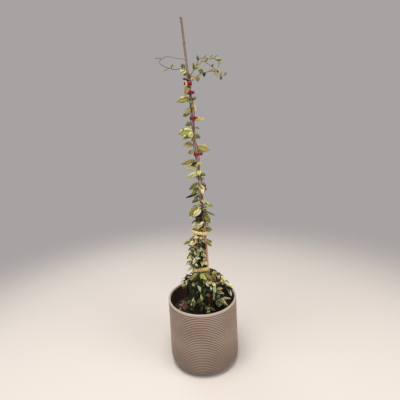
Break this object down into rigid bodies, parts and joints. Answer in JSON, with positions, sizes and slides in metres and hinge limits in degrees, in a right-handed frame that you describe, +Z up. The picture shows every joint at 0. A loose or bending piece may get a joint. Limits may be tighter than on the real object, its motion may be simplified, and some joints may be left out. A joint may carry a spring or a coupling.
{
  "type": "potted climbing plant",
  "caption": "Variegated star jasmine tied up a bamboo cane, with a leafy base arching over a round ribbed clay-coloured pot.",
  "frame": {"origin": "centre of the pot's flat underside", "axes": "+Z up along the pot's axis; -Y towards the side seen in the picture; +X to the right of that side"},
  "size_m": [0.308, 0.308, 1.4173],
  "materials": {
    "clay": "matte taupe fired clay with fine level ribs",
    "potting_soil": "dark crumbly potting soil",
    "bamboo": "reddish brown bamboo cane with a soft sheen",
    "foliage": "cream-edged green leaves on thin brown-green stems",
    "dried_foliage": "dry brown leaves",
    "yellow_tape": "soft yellow plant tie tape",
    "red_tape": "red plant tie tape"
  },
  "bodies": {
    "root": {"pot": "clay", "soil": "potting_soil", "bamboo_cane": "bamboo", "climbing_stem_1": "foliage", "climbing_stem_2": "foliage", "climbing_stem_3": "foliage", "climbing_stem_4": "foliage", "climbing_stem_5": "foliage", "climbing_stem_6": "foliage", "climbing_stem_7": "foliage", "loop_shoot_left": "foliage", "arching_shoot_right": "foliage", "trailing_shoot_right": "foliage", "basal_shoot_01": "foliage", "basal_shoot_02": "foliage", "basal_shoot_03": "foliage", "basal_shoot_04": "foliage", "basal_shoot_05": "foliage", "basal_shoot_06": "foliage", "basal_shoot_07": "foliage", "basal_shoot_08": "foliage", "basal_shoot_09": "foliage", "basal_shoot_10": "foliage", "basal_shoot_11": "foliage", "basal_shoot_12": "foliage", "basal_shoot_13": "foliage", "basal_shoot_14": "foliage", "basal_shoot_15": "foliage", "dry_shoot": "dried_foliage", "yellow_tie_lower": "yellow_tape", "yellow_tie_upper": "yellow_tape", "red_tie_1": "red_tape", "red_tie_2": "red_tape", "red_tie_3": "red_tape", "red_tie_4": "red_tape", "red_tie_5": "red_tape"}
  },
  "joints": []
}
